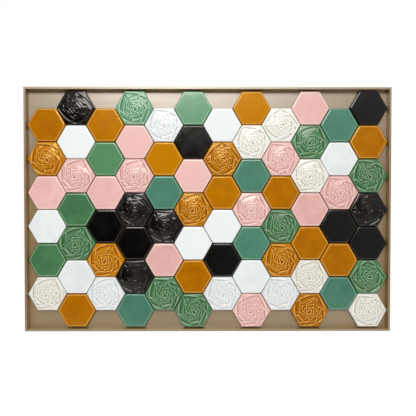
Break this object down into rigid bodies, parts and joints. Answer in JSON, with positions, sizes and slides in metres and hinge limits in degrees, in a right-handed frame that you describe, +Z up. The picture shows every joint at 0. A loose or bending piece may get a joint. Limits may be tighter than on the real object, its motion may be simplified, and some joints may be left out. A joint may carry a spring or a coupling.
{
  "type": "tile panel",
  "caption": "Wall panel of hexagonal glazed tiles, some plain and some with a rose in relief, set edge to edge in a shallow lacquered tray frame.",
  "frame": {"origin": "middle of the flat back of the back board, where the panel is fixed to a wall", "axes": "+X to the right as seen from the front, +Y into the wall, +Z up; the tiles face -Y"},
  "size_m": [1.437, 0.034, 0.9568],
  "materials": {
    "lacquer": "satin lacquer, warm champagne",
    "amber_glaze": "gloss glaze, paler on the edges",
    "pink_glaze": "gloss glaze, paler on the edges",
    "white_glaze": "gloss glaze",
    "green_glaze": "gloss glaze, paler on the edges",
    "sea_green_glaze": "gloss glaze, paler on the edges",
    "jade_glaze": "gloss glaze, paler on the edges",
    "black_glaze": "high gloss glaze"
  },
  "bodies": {
    "root": {"back_board": "lacquer", "rail_bottom": "lacquer", "rail_left": "lacquer", "rail_right": "lacquer", "rail_top": "lacquer", "tile_amber_plain_c11r5": "amber_glaze", "tile_amber_plain_c12r2": "amber_glaze", "tile_amber_plain_c2r7": "amber_glaze", "tile_amber_plain_c3r1": "amber_glaze", "tile_amber_plain_c5r2": "amber_glaze", "tile_amber_plain_c6r6": "amber_glaze", "tile_amber_plain_c8r1": "amber_glaze", "tile_amber_plain_c9r3": "amber_glaze", "tile_amber_rose_c10r7": "amber_glaze", "tile_amber_rose_c3r5": "amber_glaze", "tile_black_plain_c12r1": "black_glaze", "tile_black_plain_c12r5": "black_glaze", "tile_black_plain_c6r2": "black_glaze", "tile_black_plain_c7r5": "black_glaze", "tile_black_rose_c2r1": "black_glaze", "tile_green_plain_c3r2": "green_glaze", "tile_green_rose_c10r2": "green_glaze", "tile_green_rose_c12r3": "green_glaze", "tile_green_rose_c12r6": "green_glaze", "tile_green_rose_c9r4": "green_glaze", "tile_jade_plain_c6r1": "jade_glaze", "tile_jade_rose_c4r1": "jade_glaze", "tile_pink_plain_c10r1": "pink_glaze", "tile_pink_plain_c5r5": "pink_glaze", "tile_pink_plain_c6r3": "pink_glaze", "tile_pink_rose_c8r4": "pink_glaze", "tile_pink_rose_c8r7": "pink_glaze", "tile_pink_rose_c9r2": "pink_glaze", "tile_sea_green_plain_c11r1": "sea_green_glaze", "tile_sea_green_plain_c11r6": "sea_green_glaze", "tile_sea_green_plain_c4r7": "sea_green_glaze", "tile_sea_green_plain_c5r3": "sea_green_glaze", "tile_sea_green_plain_c8r3": "sea_green_glaze", "tile_sea_green_plain_c8r5": "sea_green_glaze", "tile_white_plain_c1r4": "white_glaze", "tile_white_plain_c2r2": "white_glaze", "tile_white_rose_c12r7": "white_glaze", "tile_white_rose_c5r1": "white_glaze", "tiles_amber_c1r1_c1r2": "amber_glaze", "tiles_amber_c6r4_c7r2_c7r3": "amber_glaze", "tiles_amber_c9r5_c10r5": "amber_glaze", "tiles_black_c11r4_c12r4": "black_glaze", "tiles_black_c3r4_c4r4_c5r4": "black_glaze", "tiles_black_c4r5_c4r6": "black_glaze", "tiles_green_c1r5_c2r4_c2r5": "green_glaze", "tiles_green_c5r6_c6r7": "green_glaze", "tiles_pink_c10r4_c11r3": "pink_glaze", "tiles_pink_c1r3_c2r3": "pink_glaze", "tiles_pink_c3r3_c4r2_c4r3": "pink_glaze", "tiles_white_c10r3_c11r2": "white_glaze", "tiles_white_c1r6_c2r6_c3r6": "white_glaze", "tiles_white_c6r5_c7r4": "white_glaze", "tiles_white_c7r1_c8r2_c9r1": "white_glaze", "tiles_white_c7r6_c8r6": "white_glaze", "tiles_white_c9r6_c10r6": "white_glaze"}
  },
  "joints": []
}
